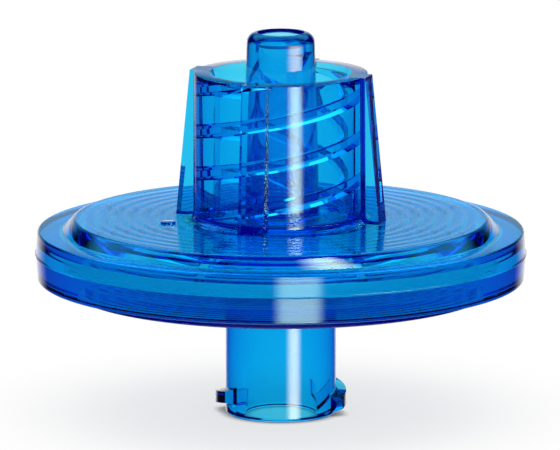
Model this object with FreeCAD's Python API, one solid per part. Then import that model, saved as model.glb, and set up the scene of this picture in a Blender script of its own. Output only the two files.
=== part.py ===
import FreeCAD, Part
import math
import os

# Syringe filter: two moulded housings welded rim to rim, with a filter membrane clamped between them.
# All sizes are in millimetres. The origin is the centre of the inlet hub's mouth, which is the lowest face,
# and +Z runs up the axis from the inlet hub to the outlet nozzle.

# Disc, seen from outside
rim_radius = 14.4
rim_lean = 0.07
rim_edge_round = 0.12
upper_rim_height = 1.35
lower_rim_height = 1.55
seam_bead_bulge = 0.07
upper_bead_height = 0.15
lower_bead_height = 0.4

# Raised middle of each side of the disc
plateau_radius = 12.2
plateau_height = 0.7
plateau_slope_run = 0.65
plateau_edge_round = 0.15
underside_radius = 12.75
underside_height = 0.6
underside_slope_run = 0.15
underside_edge_round = 0.12

# Membrane and the space it is clamped in
membrane_radius = 13.0
membrane_thickness = 0.6
membrane_clearance = 0.05
chamber_radius = 11.9
upper_plate_thickness = 0.85
lower_plate_thickness = 0.6

# Concentric rings on both plates: the outlet side's reach the membrane and are broken by channels
ring_pitch = 0.86
ring_width = 0.42
ring_start_radius = 2.4
inlet_ring_height = 0.6
channel_count = 8
channel_width = 0.6

# Inlet hub with a tapered socket
hub_length = 7.5
hub_radius = 3.26
hub_root_round = 0.2
hub_mouth_round = 0.16
luer_taper = 0.06
socket_mouth_radius = 2.15
socket_mouth_chamfer = 0.08
socket_depth = 7.5
inlet_port_radius = 0.9

# Two lugs on the inlet hub, which screw into a locking collar
lug_count = 2
lug_radius = 3.87
lug_chord = 3.4
lug_base_width = 1.03
lug_crest_width = 0.7
lug_middle_height = 1.02
lug_lead = 3.6
lug_angle = 6.0
lug_sweep = 110.0

# Outlet nozzle, a male luer cone
nozzle_tip_radius = 1.98
nozzle_projection = 2.36
nozzle_bore_radius = 1.38
nozzle_bore_draft = 0.015
nozzle_tip_round = 0.54
nozzle_mouth_round = 0.04

# Locking collar round the nozzle
collar_height = 8.65
collar_radius = 5.11
collar_draft = 0.008
collar_edge_round = 0.05
collar_foot_round = 0.35
collar_root_radius = 4.0
collar_mouth_radius = 4.18
collar_mouth_depth = 0.45
well_depth = 8.5
well_round = 0.2

# Two-start right-hand thread inside the collar
thread_starts = 2
thread_lead = 5.0
thread_crest_radius = 3.55
thread_base_width = 0.85
thread_crest_width = 0.36
thread_top_gap = 0.3
thread_foot_angle = 0.0

# Grip ribs on the collar
rib_count = 4
rib_width = 1.55
rib_top_reach = 0.25
rib_foot_reach = 1.12
rib_edge_round = 0.25
rib_angle = -106.7

# Gate mark left by moulding, a low nub on the plateau
gate_radius = 0.45
gate_height = 0.12
gate_distance = 6.9
gate_angle = 197.0

# How far an added feature reaches into the wall that carries it
embed = 0.12

# Where the two halves of each turned body meet, clear of the ribs, the lugs and the channels
halves_meet_angle = 50.0

# How closely the thread ridges' twisted faces are matched to the collar's wall
thread_match = 0.0001

# Heights worked out from the sizes above
hub_top = hub_length
lower_ledge = hub_top + underside_height
seam = lower_ledge + lower_rim_height
upper_ledge = seam + upper_rim_height
plateau = upper_ledge + plateau_height
collar_top = plateau + collar_height
well_floor = collar_top - well_depth
nozzle_tip = collar_top + nozzle_projection
membrane_top = seam + membrane_thickness
chamber_ceiling = plateau - upper_plate_thickness
chamber_floor = hub_top + lower_plate_thickness
recess_radius = membrane_radius + membrane_clearance
taper_per_side = luer_taper / 2
groove_width = ring_pitch - ring_width
ring_count = int((chamber_radius - ring_start_radius) / ring_pitch)


def point(radius, height):
    """A point of a turned profile, in the plane of X and Z."""
    return FreeCAD.Vector(radius, 0, height)


def rounded_wire(corners):
    """A closed wire through corners given as (radius, height, rounding)."""
    edges = []
    starts = []
    ends = []
    count = len(corners)
    for i in range(count):
        here = point(corners[i][0], corners[i][1])
        before = point(corners[i - 1][0], corners[i - 1][1])
        after = point(corners[(i + 1) % count][0], corners[(i + 1) % count][1])
        rounding = corners[i][2]
        if rounding == 0:
            starts.append(here)
            ends.append(here)
            continue
        back = (before - here).normalize()
        onward = (after - here).normalize()
        half_angle = back.getAngle(onward) / 2
        setback = rounding / math.tan(half_angle)
        bisector = (back + onward).normalize()
        centre = here + bisector * (rounding / math.sin(half_angle))
        start = here + back * setback
        end = here + onward * setback
        edges.append(Part.Arc(start, centre - bisector * rounding, end).toShape())
        starts.append(start)
        ends.append(end)
    for i in range(count):
        edges.append(Part.LineSegment(ends[i], starts[(i + 1) % count]).toShape())
    return Part.Wire(Part.__sortEdges__(edges))


def turned(corners):
    """The solid that a profile makes when it is turned once round the axis, in two halves."""
    half = Part.Face(rounded_wire(corners)).revolve(point(0, 0), FreeCAD.Vector(0, 0, 1), 180)
    near, far = copies_around(half, 2, halves_meet_angle)
    return near.fuse(far)


def cylinder(radius, low, high):
    """A cylinder on the axis between two heights."""
    return Part.makeCylinder(radius, high - low, point(0, low))


def ring(inner, outer, low, high):
    """A flat ring on the axis between two heights."""
    return cylinder(outer, low, high).cut(cylinder(inner, low, high))


def copies_around(shape, count, first_angle=0.0):
    """Copies of a shape, evenly turned about the axis."""
    turned_copies = []
    for i in range(count):
        copy = shape.copy()
        copy.rotate(point(0, 0), FreeCAD.Vector(0, 0, 1), first_angle + i * 360.0 / count)
        turned_copies.append(copy)
    return turned_copies


def radial_bar(inner, outer, width, low, high):
    """A straight bar that runs outwards along +X."""
    return Part.makeBox(outer - inner, width, high - low, FreeCAD.Vector(inner, -width / 2, low))


def helical_ridge(wall, crest, base_width, crest_width, lead, rise, start_height):
    """A ridge that winds up a round wall, from the wall's radius to its crest's radius."""
    inwards = 1 if crest < wall else -1
    buried = wall + inwards * embed
    outline = Part.makePolygon(
        [
            point(buried, start_height - base_width / 2),
            point(wall, start_height - base_width / 2),
            point(crest, start_height - crest_width / 2),
            point(crest, start_height + crest_width / 2),
            point(wall, start_height + base_width / 2),
            point(buried, start_height + base_width / 2),
            point(buried, start_height - base_width / 2),
        ]
    )
    helix = Part.makeHelix(lead, rise, wall)
    helix.translate(point(0, start_height))
    return Part.Wire(helix.Edges).makePipeShell([outline], True, True)


def plate_rings(low, high):
    """Concentric rings across the chamber, between two heights."""
    rings = []
    for i in range(ring_count):
        outer = chamber_radius - groove_width - i * ring_pitch
        rings.append(ring(outer - ring_width, outer, low, high))
    return rings


def outlet_rings():
    """The upper plate's rings, which carry the membrane, broken by radial channels."""
    channel = radial_bar(0, chamber_radius, channel_width, membrane_top - embed, plateau)
    channels = copies_around(channel, channel_count, 180 / channel_count)
    return [r.cut(channels) for r in plate_rings(membrane_top, chamber_ceiling + embed)]


def collar_threads():
    """The two thread ridges, trimmed at the well's floor and below the collar's mouth."""
    run_in = thread_base_width
    top = collar_top - thread_top_gap
    rise = top - well_floor + 2 * run_in
    ridge = helical_ridge(
        collar_root_radius,
        thread_crest_radius,
        thread_base_width,
        thread_crest_width,
        thread_lead,
        rise,
        well_floor - run_in,
    )
    first_angle = thread_foot_angle - 360 * run_in / thread_lead
    kept = cylinder(collar_radius, well_floor - embed, top)
    return [r.common(kept) for r in copies_around(ridge, thread_starts, first_angle)]


def grip_rib():
    """One rib along +X, which flares towards its foot."""
    inner = (collar_root_radius + collar_radius) / 2
    top_reach = collar_radius + rib_top_reach
    foot_reach = collar_radius + rib_foot_reach
    side = Part.makePolygon(
        [
            point(inner, plateau - embed),
            point(foot_reach, plateau - embed),
            point(foot_reach, plateau),
            point(top_reach, collar_top),
            point(inner, collar_top),
            point(inner, plateau - embed),
        ]
    )
    side.translate(FreeCAD.Vector(0, -rib_width / 2, 0))
    rib = Part.Face(side).extrude(FreeCAD.Vector(0, rib_width, 0))
    outer_edges = []
    for edge in rib.Edges:
        ends = [v.Point for v in edge.Vertexes]
        upright = abs(ends[0].z - ends[1].z) > embed / 2
        if upright and min(ends[0].x, ends[1].x) > inner + embed:
            outer_edges.append(edge)
    return rib.makeFillet(rib_edge_round, outer_edges)


def upper_housing():
    """Outlet shell: half of the rim, the upper plate, the locking collar and the nozzle."""
    nozzle_root_radius = nozzle_tip_radius + taper_per_side * (nozzle_tip - well_floor)
    bore_root_radius = nozzle_bore_radius - nozzle_bore_draft * (nozzle_tip - chamber_ceiling)
    collar_foot_radius = collar_radius + collar_draft * collar_height
    body = turned(
        [
            (bore_root_radius, chamber_ceiling, 0),
            (nozzle_bore_radius, nozzle_tip, nozzle_mouth_round),
            (nozzle_tip_radius, nozzle_tip, nozzle_tip_round),
            (nozzle_root_radius, well_floor, well_round),
            (collar_root_radius, well_floor, well_round),
            (collar_root_radius, collar_top - collar_mouth_depth, 0),
            (collar_mouth_radius, collar_top, 0),
            (collar_radius, collar_top, collar_edge_round),
            (collar_foot_radius, plateau, collar_foot_round),
            (plateau_radius, plateau, plateau_edge_round),
            (plateau_radius + plateau_slope_run, upper_ledge, 0),
            (rim_radius - rim_lean, upper_ledge, rim_edge_round),
            (rim_radius, seam + upper_bead_height, 0),
            (rim_radius + seam_bead_bulge, seam, 0),
            (recess_radius, seam, 0),
            (recess_radius, membrane_top, 0),
            (chamber_radius, membrane_top, 0),
            (chamber_radius, chamber_ceiling, 0),
        ]
    )
    body = body.fuse(outlet_rings())
    body = body.fuse(copies_around(grip_rib(), rib_count, rib_angle))
    body = body.fuse(collar_threads(), thread_match)
    gate = cylinder(gate_radius, plateau - embed, plateau + gate_height)
    gate = gate.makeFillet(gate_height / 2, [gate.Edges[0]])
    gate.translate(FreeCAD.Vector(gate_distance, 0, 0))
    body = body.fuse(copies_around(gate, 1, gate_angle))
    return body


def hub_lugs():
    """The lugs, parts of a helical ridge cut to a straight-sided bar across the hub."""
    sweep_rise = lug_lead * lug_sweep / 360
    ridge = helical_ridge(
        hub_radius,
        lug_radius,
        lug_base_width,
        lug_crest_width,
        lug_lead,
        sweep_rise,
        lug_middle_height - sweep_rise / 2,
    )
    ridge.rotate(point(0, 0), FreeCAD.Vector(0, 0, 1), -lug_sweep / 2)
    bar = radial_bar(0, 2 * lug_radius, lug_chord, -hub_length, hub_length)
    return copies_around(ridge.common(bar), lug_count, lug_angle)


def lower_housing():
    """Inlet shell: half of the rim, the lower plate, and the hub with its socket and lugs."""
    socket_end_radius = socket_mouth_radius - taper_per_side * socket_depth
    chamfer_height = socket_mouth_chamfer
    body = turned(
        [
            (socket_mouth_radius + socket_mouth_chamfer, 0, 0),
            (hub_radius, 0, hub_mouth_round),
            (hub_radius, hub_top, hub_root_round),
            (underside_radius - underside_slope_run, hub_top, underside_edge_round),
            (underside_radius, lower_ledge, 0),
            (rim_radius - rim_lean, lower_ledge, rim_edge_round),
            (rim_radius, seam - lower_bead_height, 0),
            (rim_radius + seam_bead_bulge, seam, 0),
            (chamber_radius, seam, 0),
            (chamber_radius, chamber_floor, 0),
            (inlet_port_radius, chamber_floor, 0),
            (inlet_port_radius, socket_depth, 0),
            (socket_end_radius, socket_depth, 0),
            (socket_mouth_radius - taper_per_side * chamfer_height, chamfer_height, 0),
        ]
    )
    body = body.fuse(plate_rings(chamber_floor - embed, chamber_floor + inlet_ring_height))
    body = body.fuse(hub_lugs())
    return body.removeSplitter()


def membrane():
    """The filter disc, held at its edge between the two housings."""
    return cylinder(membrane_radius, seam, membrane_top)


os.makedirs("parts", exist_ok=True)
pieces = {
    "upper_housing": upper_housing(),
    "lower_housing": lower_housing(),
    "membrane": membrane(),
}
for name, shape in pieces.items():
    if not shape.isValid() or len(shape.Solids) != 1:
        raise ValueError(name + " is not one valid solid")
    shape.Solids[0].exportStep("parts/" + name + ".step")
    print(name, "volume", round(shape.Volume, 2), "faces", len(shape.Faces))
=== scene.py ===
import bpy
import bmesh
from math import atan2, cos, hypot, pi, radians, sin
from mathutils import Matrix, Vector


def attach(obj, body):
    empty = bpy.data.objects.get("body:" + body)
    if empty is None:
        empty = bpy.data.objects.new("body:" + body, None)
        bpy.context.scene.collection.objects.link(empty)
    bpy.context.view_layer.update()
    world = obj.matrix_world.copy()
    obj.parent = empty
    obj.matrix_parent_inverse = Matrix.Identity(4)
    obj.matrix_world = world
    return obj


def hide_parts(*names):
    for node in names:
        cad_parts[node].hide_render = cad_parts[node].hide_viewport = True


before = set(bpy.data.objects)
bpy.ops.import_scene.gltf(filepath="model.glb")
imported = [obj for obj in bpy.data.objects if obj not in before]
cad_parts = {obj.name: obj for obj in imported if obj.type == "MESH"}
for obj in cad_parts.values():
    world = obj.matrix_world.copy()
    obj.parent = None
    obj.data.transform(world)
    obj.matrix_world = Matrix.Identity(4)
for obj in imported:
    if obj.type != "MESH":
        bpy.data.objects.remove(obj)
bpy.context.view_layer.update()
print("frame loaded")

scene = bpy.context.scene
mm = 0.001  # pieces are modelled a thousand times life size, then brought to size
near = 0.004  # a point this close to a place, in mm, lies there
mergeReach = 0.002  # points closer than this, in mm, become one
smallRounding = 0.2  # an edge rounded less than this, in mm, gets fewer faces

heights = {
    "hub": 7.5,
    "underside": 0.6,
    "lowerRim": 1.55,
    "upperRim": 1.35,
    "plateau": 0.7,
    "collar": 8.65,
    "well": 8.5,
    "nozzle": 2.36,
}


def stackLevels(v):
    # heights that every piece shares, in mm above the hub's end
    stack = {"hubTop": v["hub"]}
    stack["lowerLedge"] = stack["hubTop"] + v["underside"]
    stack["seam"] = stack["lowerLedge"] + v["lowerRim"]
    stack["upperLedge"] = stack["seam"] + v["upperRim"]
    stack["plateau"] = stack["upperLedge"] + v["plateau"]
    stack["collarTop"] = stack["plateau"] + v["collar"]
    stack["wellFloor"] = stack["collarTop"] - v["well"]
    stack["nozzleTip"] = stack["collarTop"] + v["nozzle"]
    return {name: round(height, 3) for name, height in stack.items()}


level = stackLevels(heights)


def startAfresh():
    if bpy.context.object and bpy.context.object.mode != "OBJECT":
        bpy.ops.object.mode_set(mode="OBJECT")
    bpy.ops.object.select_all(action="DESELECT")


def makeActive(piece):
    startAfresh()
    piece.select_set(True)
    bpy.context.view_layer.objects.active = piece


def pickPoints(piece, test):
    mesh = bmesh.from_edit_mesh(piece.data)
    for edge in mesh.edges:
        edge.select_set(False)
    for face in mesh.faces:
        face.select_set(False)
    for vert in mesh.verts:
        vert.select_set(False)
    for vert in mesh.verts:
        if test(vert.co):
            vert.select_set(True)
    mesh.select_flush_mode()
    mesh.select_flush(True)
    bmesh.update_edit_mesh(piece.data)


def atRing(radius, height):
    return lambda co: abs(hypot(co.x, co.y) - radius) < near and abs(co.z - height) < near


def pickRings(piece, rings):
    # edges that run round the axis along one of the rings, none of those that join two rings
    bpy.ops.mesh.select_mode(type="EDGE")
    bpy.ops.mesh.select_all(action="DESELECT")
    mesh = bmesh.from_edit_mesh(piece.data)
    tests = [atRing(radius, height) for radius, height in rings]
    for edge in mesh.edges:
        if any(test(edge.verts[0].co) and test(edge.verts[1].co) for test in tests):
            edge.select_set(True)
    bmesh.update_edit_mesh(piece.data)


def turnOutline(name, outline, segments):
    # a circle is drawn up, down, in and out through the outline, then its ends are joined
    firstRadius, firstHeight = outline[0][:2]
    startAfresh()
    bpy.ops.mesh.primitive_circle_add(
        vertices=segments, radius=firstRadius, location=(0, 0, firstHeight)
    )
    piece = bpy.context.object
    piece.name = name
    piece.data.name = name
    bpy.ops.object.transform_apply(location=True)
    bpy.ops.object.mode_set(mode="EDIT")
    bpy.ops.mesh.select_mode(type="VERT")
    bpy.ops.mesh.select_all(action="SELECT")
    radius, height = firstRadius, firstHeight
    for nextStep in outline[1:]:
        bpy.ops.mesh.extrude_region_move(
            TRANSFORM_OT_translate={"value": (0, 0, (nextStep[1] - height))}
        )
        grow = nextStep[0] / radius
        bpy.ops.transform.resize(value=(grow, grow, 1), center_override=(0, 0, 0))
        radius, height = nextStep[:2]
    pickRings(piece, [(firstRadius, firstHeight), (radius, height)])
    bpy.ops.mesh.bridge_edge_loops()
    roundings = sorted({step[2] for step in outline if step[2] > 0})
    for rounding in roundings:
        pickRings(piece, [step[:2] for step in outline if step[2] == rounding])
        steps = 3 if rounding < smallRounding else 6
        bpy.ops.mesh.bevel(offset=rounding, segments=steps, affect="EDGES")
    tidySkin(piece)
    return piece


def tidySkin(piece):
    makeActive(piece)
    bpy.ops.object.mode_set(mode="EDIT")
    bpy.ops.mesh.select_all(action="SELECT")
    bpy.ops.mesh.remove_doubles(threshold=mergeReach)
    bpy.ops.mesh.normals_make_consistent(inside=False)
    bpy.ops.object.mode_set(mode="OBJECT")


def runModifier(piece, kind, **values):
    makeActive(piece)
    step = piece.modifiers.new(kind.lower(), kind)
    for key, value in values.items():
        setattr(step, key, value)
    bpy.ops.object.modifier_apply(modifier=step.name)


def joinTo(piece, extra, operation="UNION"):
    runModifier(piece, "BOOLEAN", object=extra, operation=operation, solver="EXACT")
    bpy.data.objects.remove(extra, do_unlink=True)


def copyTurned(piece, angle):
    startAfresh()
    copy = piece.copy()
    copy.data = piece.data.copy()
    scene.collection.objects.link(copy)
    makeActive(copy)
    copy.rotation_euler = (0, 0, radians(angle))
    bpy.ops.object.transform_apply(rotation=True)
    return copy


def barAlongX(name, inner, outer, width, low, high):
    startAfresh()
    bpy.ops.mesh.primitive_cube_add(
        size=1, location=((inner + outer) / 2, 0, (low + high) / 2)
    )
    piece = bpy.context.object
    piece.name = name
    piece.scale = ((outer - inner), width, (high - low))
    bpy.ops.object.transform_apply(location=True, scale=True)
    return piece


def windRidge(name, values, startHeight, turns, steps):
    # a flat outline beside the axis is wound up a helix by the screw modifier, then closed
    wall, crest = values["wallRadius"], values["crestRadius"]
    inwards = 1 if crest < wall else -1
    buried = wall + inwards * values["embed"]
    flank = (values["baseWidth"] - values["crestWidth"]) / abs(wall - crest)
    buriedWidth = values["baseWidth"] + flank * values["embed"]
    startAfresh()
    bpy.ops.mesh.primitive_plane_add(
        size=1,
        rotation=(radians(90), 0, 0),
        location=((crest + buried) / 2, 0, startHeight),
    )
    piece = bpy.context.object
    piece.name = name
    piece.scale = (abs(buried - crest), buriedWidth, 1)
    bpy.ops.object.transform_apply(location=True, rotation=True, scale=True)
    bpy.ops.object.mode_set(mode="EDIT")
    bpy.ops.mesh.select_mode(type="VERT")
    pickPoints(piece, lambda co: abs(co.x - crest) < near)
    bpy.ops.transform.resize(
        value=(1, 1, values["crestWidth"] / buriedWidth),
        center_override=(crest, 0, startHeight),
    )
    bpy.ops.mesh.select_all(action="SELECT")
    bpy.ops.mesh.delete(type="ONLY_FACE")
    bpy.ops.object.mode_set(mode="OBJECT")
    runModifier(
        piece,
        "SCREW",
        angle=2 * pi * turns,
        screw_offset=values["lead"] * turns,
        steps=steps,
        render_steps=steps,
        use_merge_vertices=False,
    )
    makeActive(piece)
    bpy.ops.object.mode_set(mode="EDIT")
    bpy.ops.mesh.select_all(action="SELECT")
    bpy.ops.mesh.fill_holes(sides=0)
    bpy.ops.object.mode_set(mode="OBJECT")
    tidySkin(piece)
    return piece


print("helpers ready")


# what the two housings have in common, in mm
bothShells = {
    "segments": 192,
    "rimRadius": 14.4,
    "rimLean": 0.07,
    "rimEdgeRound": 0.12,
    "chamberRadius": 11.9,
    "ringPitch": 0.86,
    "ringWidth": 0.42,
    "ringCount": 11,
}


def ringSteps(v, foot, crest):
    # the support rings in section, from the chamber's wall inwards
    steps = []
    edge = v["chamberRadius"] - (v["ringPitch"] - v["ringWidth"])
    for i in range(v["ringCount"]):
        inner = edge - v["ringWidth"]
        steps += [(edge, foot, 0), (edge, crest, 0), (inner, crest, 0), (inner, foot, 0)]
        edge -= v["ringPitch"]
    return steps


upperShell = {
    **bothShells,
    "seamBulge": 0.05,
    "seamBulgeHeight": 0.15,
    "seamGap": 0.02,  # of air between the rims, so that the weld shows as a line
    "plateauRadius": 12.2,
    "slopeRun": 0.65,
    "plateauEdgeRound": 0.15,
    "plateThickness": 0.85,
    "membraneRecess": 13.05,
    "membraneThickness": 0.6,
    "channelCount": 8,
    "channelWidth": 0.6,
    "channelStop": 0.2,
    "channelBelow": 1.0,
    "collarRadius": 5.11,
    "collarFootRadius": 5.18,
    "collarEdgeRound": 0.05,
    "collarFootRound": 0.35,
    "collarRoot": 4.0,
    "collarMouth": 4.18,
    "collarMouthDepth": 0.45,
    "wellRound": 0.2,
    "tipRadius": 1.98,
    "tipRootRadius": 2.306,
    "tipRound": 0.54,
    "boreRadius": 1.38,
    "boreRootRadius": 1.2,
    "boreMouthRound": 0.04,
}

thread = {
    "wallRadius": upperShell["collarRoot"],
    "crestRadius": 3.55,
    "baseWidth": 0.85,
    "crestWidth": 0.36,
    "embed": 0.3,
    "lead": 5.0,
    "starts": 2,
    "topGap": 0.3,
    "footAngle": 0.0,
    "stepsPerTurn": 96,
    "cutReach": 0.0001,
}

gripRib = {
    "count": 4,
    "width": 1.55,
    "topStandOut": 0.25,
    "footStandOut": 1.12,
    "embed": 0.1,
    "edgeRound": 0.25,
    "edgeSteps": 4,
    "angle": -106.7,
}

gateMark = {
    "sides": 24,
    "radius": 0.45,
    "height": 0.12,
    "embed": 0.1,
    "edgeSteps": 2,
    "distance": 6.9,
    "angle": 197.0,
}


def upperOutline(v):
    ceiling = level["plateau"] - v["plateThickness"]
    underside = level["seam"] + v["membraneThickness"]
    seam = level["seam"] + v["seamGap"]
    rimTop = v["rimRadius"] - v["rimLean"]
    outline = [
        (v["boreRootRadius"], ceiling, 0),
        (v["boreRadius"], level["nozzleTip"], v["boreMouthRound"]),
        (v["tipRadius"], level["nozzleTip"], v["tipRound"]),
        (v["tipRootRadius"], level["wellFloor"], v["wellRound"]),
        (v["collarRoot"], level["wellFloor"], v["wellRound"]),
        (v["collarRoot"], level["collarTop"] - v["collarMouthDepth"], 0),
        (v["collarMouth"], level["collarTop"], 0),
        (v["collarRadius"], level["collarTop"], v["collarEdgeRound"]),
        (v["collarFootRadius"], level["plateau"], v["collarFootRound"]),
        (v["plateauRadius"], level["plateau"], v["plateauEdgeRound"]),
        (v["plateauRadius"] + v["slopeRun"], level["upperLedge"], 0),
        (rimTop, level["upperLedge"], v["rimEdgeRound"]),
        (v["rimRadius"], level["seam"] + v["seamBulgeHeight"], 0),
        (v["rimRadius"] + v["seamBulge"], seam, 0),
        (v["membraneRecess"], seam, 0),
        (v["membraneRecess"], underside, 0),
        (v["chamberRadius"], underside, 0),
        (v["chamberRadius"], ceiling, 0),
    ]
    return outline + ringSteps(v, ceiling, underside)


def makeRib(v):
    # a bar inside the collar's wall, drawn out at its foot, with its two outer edges rounded
    wall = upperShell["collarRadius"]
    inner = (upperShell["collarRoot"] + wall) / 2
    low = level["plateau"] - v["embed"]
    rib = barAlongX("rib", inner, wall + v["topStandOut"], v["width"], low, level["collarTop"])
    bpy.ops.object.mode_set(mode="EDIT")
    bpy.ops.mesh.select_mode(type="VERT")
    pickPoints(rib, lambda co: abs(co.z - low) < near and co.x > wall)
    bpy.ops.transform.translate(value=((v["footStandOut"] - v["topStandOut"]), 0, 0))
    pickPoints(rib, lambda co: co.x > wall)
    mesh = bmesh.from_edit_mesh(rib.data)
    for edge in mesh.edges:
        run = edge.verts[1].co - edge.verts[0].co
        edge.select_set(edge.select and abs(run.z) > abs(run.y))
    bmesh.update_edit_mesh(rib.data)
    bpy.ops.mesh.bevel(offset=v["edgeRound"], segments=v["edgeSteps"], affect="EDGES")
    bpy.ops.object.mode_set(mode="OBJECT")
    tidySkin(rib)
    return rib


def makeThread(v):
    # its foot runs on into the well's floor, and its head is cut off level below the mouth
    top = level["collarTop"] - v["topGap"]
    runIn = v["baseWidth"]
    turns = (top - level["wellFloor"] + 2 * runIn) / v["lead"]
    steps = round(turns * v["stepsPerTurn"])
    ridge = windRidge("threadRidge", v, level["wellFloor"] - runIn, turns, steps)
    makeActive(ridge)
    bpy.ops.object.mode_set(mode="EDIT")
    bpy.ops.mesh.select_all(action="SELECT")
    bpy.ops.mesh.bisect(
        plane_co=(0, 0, top),
        plane_no=(0, 0, 1),
        use_fill=True,
        clear_outer=True,
        threshold=v["cutReach"],
    )
    bpy.ops.object.mode_set(mode="OBJECT")
    tidySkin(ridge)
    return ridge


def makeGateMark(v):
    startAfresh()
    bpy.ops.mesh.primitive_cylinder_add(
        vertices=v["sides"],
        radius=v["radius"],
        depth=v["height"] + v["embed"],
        location=(v["distance"], 0, level["plateau"] + (v["height"] - v["embed"]) / 2),
    )
    mark = bpy.context.object
    mark.name = "gateMark"
    bpy.ops.object.transform_apply(location=True)
    bpy.ops.object.mode_set(mode="EDIT")
    bpy.ops.mesh.select_mode(type="VERT")
    pickPoints(mark, lambda co: co.z > level["plateau"])
    bpy.ops.mesh.bevel(offset=v["height"] / 2, segments=v["edgeSteps"], affect="EDGES")
    bpy.ops.object.mode_set(mode="OBJECT")
    tidySkin(mark)
    return mark


def makeUpperShell(v):
    # each bar cuts two channels through the rings, and stops short of the chamber's wall
    shell = turnOutline("upperShell", upperOutline(v), v["segments"])
    end = v["chamberRadius"] - v["channelStop"]
    low = level["seam"] - v["channelBelow"]
    ceiling = level["plateau"] - v["plateThickness"]
    bar = barAlongX("channel", -end, end, v["channelWidth"], low, ceiling)
    half = v["channelCount"] // 2
    for i in range(half):
        joinTo(shell, copyTurned(bar, 180 / v["channelCount"] + i * 180 / half), "DIFFERENCE")
    bpy.data.objects.remove(bar, do_unlink=True)
    rib = makeRib(gripRib)
    for i in range(gripRib["count"]):
        joinTo(shell, copyTurned(rib, gripRib["angle"] + i * 360 / gripRib["count"]))
    bpy.data.objects.remove(rib, do_unlink=True)
    ridge = makeThread(thread)
    runBack = 360 * thread["baseWidth"] / thread["lead"]
    for i in range(thread["starts"]):
        turned = thread["footAngle"] - runBack + i * 360 / thread["starts"]
        joinTo(shell, copyTurned(ridge, turned))
    bpy.data.objects.remove(ridge, do_unlink=True)
    mark = makeGateMark(gateMark)
    joinTo(shell, copyTurned(mark, gateMark["angle"]))
    bpy.data.objects.remove(mark, do_unlink=True)
    return shell


housing = makeUpperShell(upperShell)
print("upper shell made", len(housing.data.polygons))


lowerShell = {
    **bothShells,
    "seamBulge": 0.07,
    "seamBulgeHeight": 0.4,
    "undersideRadius": 12.75,
    "slopeRun": 0.15,
    "undersideRound": 0.12,
    "plateThickness": 0.6,
    "portRadius": 0.9,
    "hubRadius": 3.26,
    "hubRootRound": 0.2,
    "hubMouthRound": 0.16,
    "socketMouth": 2.15,
    "socketChamfer": 0.08,
    "socketEnd": 1.925,
    "socketDepth": 7.5,
    "ringHeight": 0.6,
}

lug = {
    "wallRadius": lowerShell["hubRadius"],
    "crestRadius": 3.87,
    "baseWidth": 1.03,
    "crestWidth": 0.7,
    "embed": 0.3,
    "lead": 3.6,
    "chord": 3.4,
    "middleHeight": 1.02,
    "sweep": 110.0,
    "angle": 6.0,
    "count": 2,
    "steps": 48,
    "slabLow": -1.0,
    "slabHigh": 4.0,
}


def lowerOutline(v):
    floor = level["hubTop"] + v["plateThickness"]
    rimFoot = v["rimRadius"] - v["rimLean"]
    outline = [
        (v["socketMouth"] + v["socketChamfer"], 0, 0),
        (v["hubRadius"], 0, v["hubMouthRound"]),
        (v["hubRadius"], level["hubTop"], v["hubRootRound"]),
        (v["undersideRadius"] - v["slopeRun"], level["hubTop"], v["undersideRound"]),
        (v["undersideRadius"], level["lowerLedge"], 0),
        (rimFoot, level["lowerLedge"], v["rimEdgeRound"]),
        (v["rimRadius"], level["seam"] - v["seamBulgeHeight"], 0),
        (v["rimRadius"] + v["seamBulge"], level["seam"], 0),
        (v["chamberRadius"], level["seam"], 0),
        (v["chamberRadius"], floor, 0),
    ]
    outline += ringSteps(v, floor, floor + v["ringHeight"])
    outline += [
        (v["portRadius"], floor, 0),
        (v["portRadius"], v["socketDepth"], 0),
        (v["socketEnd"], v["socketDepth"], 0),
        (v["socketMouth"], v["socketChamfer"], 0),
    ]
    return outline


def makeLug(v):
    # a short ridge round the hub, of which only what lies within a slab's width is kept
    turns = v["sweep"] / 360
    rise = v["lead"] * turns
    ridge = windRidge("lug", v, v["middleHeight"] - rise / 2, turns, v["steps"])
    centred = copyTurned(ridge, -v["sweep"] / 2)
    bpy.data.objects.remove(ridge, do_unlink=True)
    slab = barAlongX(
        "lugSlab", 0, 2 * v["crestRadius"], v["chord"], v["slabLow"], v["slabHigh"]
    )
    joinTo(centred, slab, "INTERSECT")
    return centred


def makeLowerShell(v):
    shell = turnOutline("lowerShell", lowerOutline(v), v["segments"])
    wing = makeLug(lug)
    for i in range(lug["count"]):
        joinTo(shell, copyTurned(wing, lug["angle"] + i * 360 / lug["count"]))
    bpy.data.objects.remove(wing, do_unlink=True)
    return shell


base = makeLowerShell(lowerShell)
print("lower shell made", len(base.data.polygons))


membrane = {
    "segments": 192,
    "radius": 13.0,
    "thickness": upperShell["membraneThickness"],
    "gap": 0.01,  # of air above and below, so that no two faces share a place
}


def makeMembrane(v):
    startAfresh()
    bpy.ops.mesh.primitive_cylinder_add(
        vertices=v["segments"],
        radius=v["radius"],
        depth=(v["thickness"] - 2 * v["gap"]),
        location=(0, 0, (level["seam"] + v["thickness"] / 2)),
    )
    disc = bpy.context.object
    disc.name = "membraneDisc"
    bpy.ops.object.transform_apply(location=True)
    return disc


disc = makeMembrane(membrane)
print("membrane made")


def sums(nodes, links, operation, first, second):
    node = nodes.new("ShaderNodeMath")
    node.operation = operation
    for socket, value in zip(node.inputs, (first, second)):
        if isinstance(value, (int, float)):
            socket.default_value = value
        else:
            links.new(value, socket)
    return node.outputs["Value"]


def mapRange(nodes, links, source, low, high, toLow=0.0, toHigh=1.0):
    node = nodes.new("ShaderNodeMapRange")
    node.interpolation_type = "SMOOTHSTEP"
    node.inputs["From Min"].default_value = low
    node.inputs["From Max"].default_value = high
    node.inputs["To Min"].default_value = toLow
    node.inputs["To Max"].default_value = toHigh
    links.new(source, node.inputs["Value"])
    return node.outputs["Result"]


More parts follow.
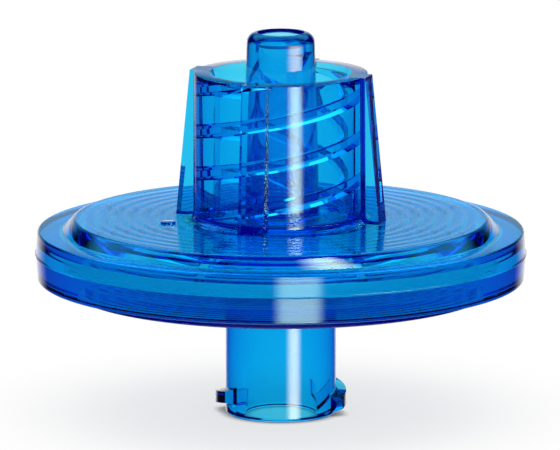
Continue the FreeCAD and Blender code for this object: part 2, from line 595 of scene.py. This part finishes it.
def blendBetween(nodes, links, factor, first, second):
    # first where the factor is 0, second where it is 1
    gap = sums(nodes, links, "SUBTRACT", second, first)
    part = sums(nodes, links, "MULTIPLY", gap, factor)
    return sums(nodes, links, "ADD", first, part)


bluePlastic = {
    "tint": (0.0, 0.846, 0.971, 1),
    "density": 2400.0,
    "ior": 1.5,
    "ripplePitch": bothShells["ringPitch"],
    "rippleHeight": 0.0027,
    "rippleCrest": 10.82,
    "rippleStart": 5.5,
    "rippleEnd": bothShells["chamberRadius"],
    "rippleFade": 0.4,
    "rippleDepth": 0.05,
}


def plateauRipple(nodes, links, v):
    # shallow sink marks that the support rings leave on the plateau, from -1 to 1
    place = nodes.new("ShaderNodeTexCoord")
    split = nodes.new("ShaderNodeSeparateXYZ")
    links.new(place.outputs["Object"], split.inputs["Vector"])
    flat = nodes.new("ShaderNodeCombineXYZ")
    links.new(split.outputs["X"], flat.inputs["X"])
    links.new(split.outputs["Y"], flat.inputs["Y"])
    reach = nodes.new("ShaderNodeVectorMath")
    reach.operation = "LENGTH"
    links.new(flat.outputs["Vector"], reach.inputs[0])
    radius = reach.outputs["Value"]
    fromCrest = sums(nodes, links, "SUBTRACT", radius, v["rippleCrest"] * mm)
    turn = sums(nodes, links, "MULTIPLY", fromCrest, 2 * pi / (v["ripplePitch"] * mm))
    wave = sums(nodes, links, "COSINE", turn, 0)
    start, end, fade = v["rippleStart"], v["rippleEnd"], v["rippleFade"]
    lowest = level["plateau"] - v["rippleDepth"]
    for mask in (
        mapRange(nodes, links, radius, start * mm, (start + fade) * mm),
        mapRange(nodes, links, radius, (end - fade) * mm, end * mm, 1, 0),
        sums(nodes, links, "GREATER_THAN", split.outputs["Z"], lowest * mm),
    ):
        wave = sums(nodes, links, "MULTIPLY", wave, mask)
    return wave


def makeBluePlastic(v):
    material = bpy.data.materials.new("bluePlastic")
    material.use_nodes = True
    nodes, links = material.node_tree.nodes, material.node_tree.links
    shader = nodes["Principled BSDF"]
    shader.inputs["Base Color"].default_value = (1, 1, 1, 1)
    shader.inputs["Metallic"].default_value = 0
    shader.inputs["IOR"].default_value = v["ior"]
    shader.inputs["Roughness"].default_value = 0
    shader.inputs["Transmission Weight"].default_value = 1
    bump = nodes.new("ShaderNodeBump")
    bump.inputs["Distance"].default_value = v["rippleHeight"] * mm
    links.new(plateauRipple(nodes, links, v), bump.inputs["Height"])
    links.new(bump.outputs["Normal"], shader.inputs["Normal"])
    absorb = nodes.new("ShaderNodeVolumeAbsorption")
    absorb.inputs["Color"].default_value = v["tint"]
    absorb.inputs["Density"].default_value = v["density"]
    links.new(absorb.outputs["Volume"], nodes["Material Output"].inputs["Volume"])
    return material


whiteMembrane = {
    "roughness": 0.85,
    "grainScale": 900.0,
    "darkest": (0.90, 0.90, 0.90, 1),
    "palest": (0.96, 0.96, 0.96, 1),
}


def makeWhiteMembrane(v):
    material = bpy.data.materials.new("whiteMembrane")
    material.use_nodes = True
    nodes, links = material.node_tree.nodes, material.node_tree.links
    shader = nodes["Principled BSDF"]
    shader.inputs["Roughness"].default_value = v["roughness"]
    place = nodes.new("ShaderNodeTexCoord")
    grain = nodes.new("ShaderNodeTexNoise")
    grain.inputs["Scale"].default_value = v["grainScale"]
    links.new(place.outputs["Object"], grain.inputs["Vector"])
    shade = nodes.new("ShaderNodeValToRGB")
    shade.color_ramp.elements[0].color = v["darkest"]
    shade.color_ramp.elements[1].color = v["palest"]
    links.new(grain.outputs["Fac"], shade.inputs["Fac"])
    links.new(shade.outputs["Color"], shader.inputs["Base Color"])
    return material


plastic = makeBluePlastic(bluePlastic)
paper = makeWhiteMembrane(whiteMembrane)
sharpAngle = 32  # edges that turn more than this many degrees stay sharp


def dress(piece, material, node):
    makeActive(piece)
    piece.scale = (mm, mm, mm)
    bpy.ops.object.transform_apply(scale=True)
    piece.data.materials.clear()
    piece.data.materials.append(material)
    makeActive(piece)
    bpy.ops.object.shade_smooth_by_angle(angle=radians(sharpAngle))
    runModifier(piece, "WEIGHTED_NORMAL", mode="FACE_AREA", weight=100, keep_sharp=True)
    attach(piece, "root")
    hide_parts(node)


dress(housing, plastic, "upper_housing")
dress(base, plastic, "lower_housing")
dress(disc, paper, "membrane")
print("pieces dressed")


studio = {
    "floorSize": 4.0,
    "floorColour": (0.92, 0.9, 0.87, 1),
    "shadowKept": 0.3,
    "fadeStart": 0.008,
    "fadeEnd": 0.022,
    # how far and how strongly the painted contact shadow darkens the floor's glow
    "paintedShadowReach": 0.0006,
    "paintedShadowPower": 1.2,
    "plainLevel": 1.0,
    "throughLevel": 1.0,
    "topThroughLevel": 2.0,
    "darkReflection": 0.02,
    "backReflection": 1.0,
    "aboveReflection": 0.87,
    "aboveTint": (0.05, 0.55, 1.0, 1),
    "softboxReflection": 3.0,
    "belowReflection": 0.8,
    # where each part of the room fades in or out, as the way's backward or upward share
    "backdropEdge": (0.80, 0.97),
    "aboveEdge": (0.06, 0.25),
    "softboxFoot": (0.40, 0.55),
    "softboxHead": (0.88, 0.96),
    "softboxFront": (0.1, 0.3),
    "belowEdge": (-0.95, -0.7),
    "topThroughEdge": (0.2, 0.6),
}

camera = {
    "distance": 402.0,
    "elevation": 10.86,
    "pitch": 10.64,
    "shiftX": -0.047,
    "lens": 438.5,
    "sensor": 36.0,
}

# soft lamps that only show as streaks on the upright walls, each described by its streak in mm:
# the wall's radius and its lean in degrees, the streak's heights, middle and width, and how far
# off the lamp stands
streaks = {
    "hubStreak": {
        "wall": 3.26,
        "lean": 0.0,
        "low": 0.2,
        "high": 7.4,
        "middle": 0.78,
        "width": 1.1,
        "far": 2.0,
        "spare": 0.0,
        "power": 14,
        "tint": (1.0, 0.86, 0.6, 1),
        "feather": 0.45,
    },
    "lowerRimStreak": {
        "wall": 14.37,
        "lean": -3.5,
        "low": 8.1,
        "high": 9.3,
        "middle": 1.05,
        "width": 3.3,
        "far": 4.0,
        "spare": 0.6,
        "power": 10.5,
        "tint": (0.6, 1.0, 0.75, 1),
        "feather": 0.27,
    },
    "upperRimStreak": {
        "wall": 14.37,
        "lean": 3.2,
        "low": 9.7,
        "high": 11.0,
        "middle": 1.05,
        "width": 3.3,
        "far": 4.0,
        "spare": 0.0,
        "power": 8,
        "tint": (0.6, 1.0, 0.75, 1),
        "feather": 0.27,
    },
    "collarStreak": {
        "wall": 5.14,
        "lean": 0.46,
        "low": 12.0,
        "high": 20.4,
        "middle": 0.85,
        "width": 1.15,
        "far": 8.2,
        "spare": 0.0,
        "power": 15,
        "tint": (0.75, 1.0, 0.6, 1),
        "feather": 0.45,
    },
    "nozzleStreak": {
        "wall": 2.0,
        "lean": 1.7,
        "low": 20.0,
        "high": 22.5,
        "middle": 0.85,
        "width": 1.25,
        "far": 60.0,
        "spare": 0.0,
        "power": 11,
        "tint": (1.0, 0.78, 0.45, 1),
        "feather": 0.45,
    },
}


def eyePlace(v):
    rise = radians(v["elevation"])
    return Vector(
        (v["shiftX"], -v["distance"] * cos(rise), level["seam"] + v["distance"] * sin(rise))
    )


def makeFloor(v):
    # it glows like the white backdrop, less so near the filter, where it keeps a soft shadow; a
    # painted contact shadow, from ambient occlusion, darkens its glow where the filter stands
    # on it
    startAfresh()
    bpy.ops.mesh.primitive_plane_add(size=v["floorSize"], location=(0, 0, 0))
    floor = bpy.context.object
    floor.name = "studioFloor"
    floor.visible_glossy = False
    material = bpy.data.materials.new("studioFloor")
    material.use_nodes = True
    nodes, links = material.node_tree.nodes, material.node_tree.links
    shader = nodes["Principled BSDF"]
    shader.inputs["Base Color"].default_value = v["floorColour"]
    shader.inputs["Roughness"].default_value = 1
    shader.inputs["Specular IOR Level"].default_value = 0
    glow = nodes.new("ShaderNodeEmission")
    # painted contact shadow: ambient occlusion dims the floor's glow next to the filter
    paintedShadow = nodes.new("ShaderNodeAmbientOcclusion")
    paintedShadow.inputs["Distance"].default_value = v["paintedShadowReach"]
    paintedShadowGlow = sums(nodes, links, "POWER", paintedShadow.outputs["AO"], v["paintedShadowPower"])
    links.new(paintedShadowGlow, glow.inputs["Strength"])
    place = nodes.new("ShaderNodeTexCoord")
    reach = nodes.new("ShaderNodeVectorMath")
    reach.operation = "LENGTH"
    links.new(place.outputs["Object"], reach.inputs[0])
    distance, kept = reach.outputs["Value"], 1 - v["shadowKept"]
    fade = mapRange(nodes, links, distance, v["fadeStart"], v["fadeEnd"], kept, 1)
    rays = nodes.new("ShaderNodeLightPath")
    notDiffuse = sums(nodes, links, "SUBTRACT", 1, rays.outputs["Is Diffuse Ray"])
    share = sums(nodes, links, "MULTIPLY", fade, notDiffuse)
    mix = nodes.new("ShaderNodeMixShader")
    links.new(share, mix.inputs["Fac"])
    links.new(shader.outputs["BSDF"], mix.inputs[1])
    links.new(glow.outputs["Emission"], mix.inputs[2])
    links.new(mix.outputs["Shader"], nodes["Material Output"].inputs["Surface"])
    floor.data.materials.append(material)


def makeWorld(v):
    # white to look at and to look through, but mirrored in the plastic it is a dark room with
    # a pale backdrop that turns blue higher up, a soft box overhead and a pale ground
    world = bpy.data.worlds.new("studio")
    scene.world = world
    world.use_nodes = True
    nodes, links = world.node_tree.nodes, world.node_tree.links
    way = nodes.new("ShaderNodeTexCoord")
    split = nodes.new("ShaderNodeSeparateXYZ")
    links.new(way.outputs["Generated"], split.inputs["Vector"])
    back, up = split.outputs["Y"], split.outputs["Z"]
    behind = mapRange(nodes, links, back, *v["backdropEdge"])
    above = mapRange(nodes, links, up, *v["aboveEdge"])
    fall = blendBetween(nodes, links, above, v["backReflection"], v["aboveReflection"])
    mirrored = sums(nodes, links, "MULTIPLY", behind, fall)
    boxFoot = mapRange(nodes, links, up, *v["softboxFoot"])
    boxHead = mapRange(nodes, links, up, *v["softboxHead"], 1, 0)
    boxFront = mapRange(nodes, links, back, *v["softboxFront"])
    softbox = v["softboxReflection"]
    for edge in (boxFoot, boxHead, boxFront):
        softbox = sums(nodes, links, "MULTIPLY", edge, softbox)
    mirrored = sums(nodes, links, "ADD", mirrored, softbox)
    ground = (v["belowReflection"], v["darkReflection"])
    below = mapRange(nodes, links, up, *v["belowEdge"], *ground)
    mirrored = sums(nodes, links, "ADD", mirrored, below)
    overhead = mapRange(nodes, links, up, *v["topThroughEdge"])
    through = blendBetween(nodes, links, overhead, v["throughLevel"], v["topThroughLevel"])
    rays = nodes.new("ShaderNodeLightPath").outputs
    mirror = sums(nodes, links, "MULTIPLY", rays["Is Reflection Ray"], rays["Is Glossy Ray"])
    lit = blendBetween(nodes, links, mirror, through, mirrored)
    plain = sums(nodes, links, "MAXIMUM", rays["Is Camera Ray"], rays["Is Diffuse Ray"])
    strength = blendBetween(nodes, links, plain, lit, v["plainLevel"])
    links.new(strength, nodes["Background"].inputs["Strength"])
    colour = nodes.new("ShaderNodeMix")  # its colours go in at sockets 6 and 7, and out at 2
    colour.data_type = "RGBA"
    colour.inputs[6].default_value = (1, 1, 1, 1)
    colour.inputs[7].default_value = v["aboveTint"]
    links.new(sums(nodes, links, "MULTIPLY", mirror, above), colour.inputs[0])
    links.new(colour.outputs[2], nodes["Background"].inputs["Color"])


def makeStreak(name, v):
    # the lamp stands where the wall mirrors it at the streak's place
    turn = atan2(v["middle"], (v["wall"] ** 2 - v["middle"] ** 2) ** 0.5)
    tilt = radians(v["lean"])
    outward = Vector((sin(turn) * cos(tilt), -cos(turn) * cos(tilt), sin(tilt)))
    far = v["far"]
    ends = []
    for height in (v["low"], v["high"]):
        spot = Vector((v["middle"], -v["wall"] * cos(turn), height))
        look = (spot - eyePlace(camera)).normalized()
        ends.append(spot + far * (look - 2 * look.dot(outward) * outward))
    middle = (ends[0] + ends[1]) / 2
    width = v["width"] + 2 * far * v["width"] / (v["wall"] * cos(turn))
    light = bpy.data.lights.new(name, "AREA")
    light.shape = "RECTANGLE"
    light.size = width * mm
    light.size_y = (ends[1].z - ends[0].z + 2 * v["spare"]) * mm
    light.energy = v["power"] * pi * light.size * light.size_y
    light.use_nodes = True
    nodes, links = light.node_tree.nodes, light.node_tree.links
    place = nodes.new("ShaderNodeNewGeometry")
    split = nodes.new("ShaderNodeSeparateXYZ")
    links.new(place.outputs["Parametric"], split.inputs["Vector"])
    rising = mapRange(nodes, links, split.outputs["X"], 0, v["feather"])
    falling = mapRange(nodes, links, split.outputs["X"], 1 - v["feather"], 1, 1, 0)
    nodes["Emission"].inputs["Color"].default_value = v["tint"]
    strength = sums(nodes, links, "MULTIPLY", rising, falling)
    links.new(strength, nodes["Emission"].inputs["Strength"])
    lamp = bpy.data.objects.new(name, light)
    scene.collection.objects.link(lamp)
    lamp.location = middle * mm
    lamp.rotation_euler = (radians(90), 0, atan2(middle.y, middle.x) + pi / 2)
    lamp.visible_camera = False  # only what mirrors it shows it
    lamp.visible_diffuse = False
    lamp.visible_transmission = False


def makeCamera(v):
    data = bpy.data.cameras.new("camera")
    data.lens = v["lens"]
    data.sensor_width = v["sensor"]
    eye = bpy.data.objects.new("camera", data)
    scene.collection.objects.link(eye)
    eye.location = eyePlace(v) * mm
    eye.rotation_euler = (radians(90 - v["pitch"]), 0, 0)
    scene.camera = eye


makeFloor(studio)
makeWorld(studio)
for name, values in streaks.items():
    makeStreak(name, values)
makeCamera(camera)
scene.view_settings.view_transform = "Standard"
# light crosses many walls of clear plastic on its way
scene.cycles.max_bounces = 32
scene.cycles.transmission_bounces = 32
scene.cycles.glossy_bounces = 16
print("studio ready")
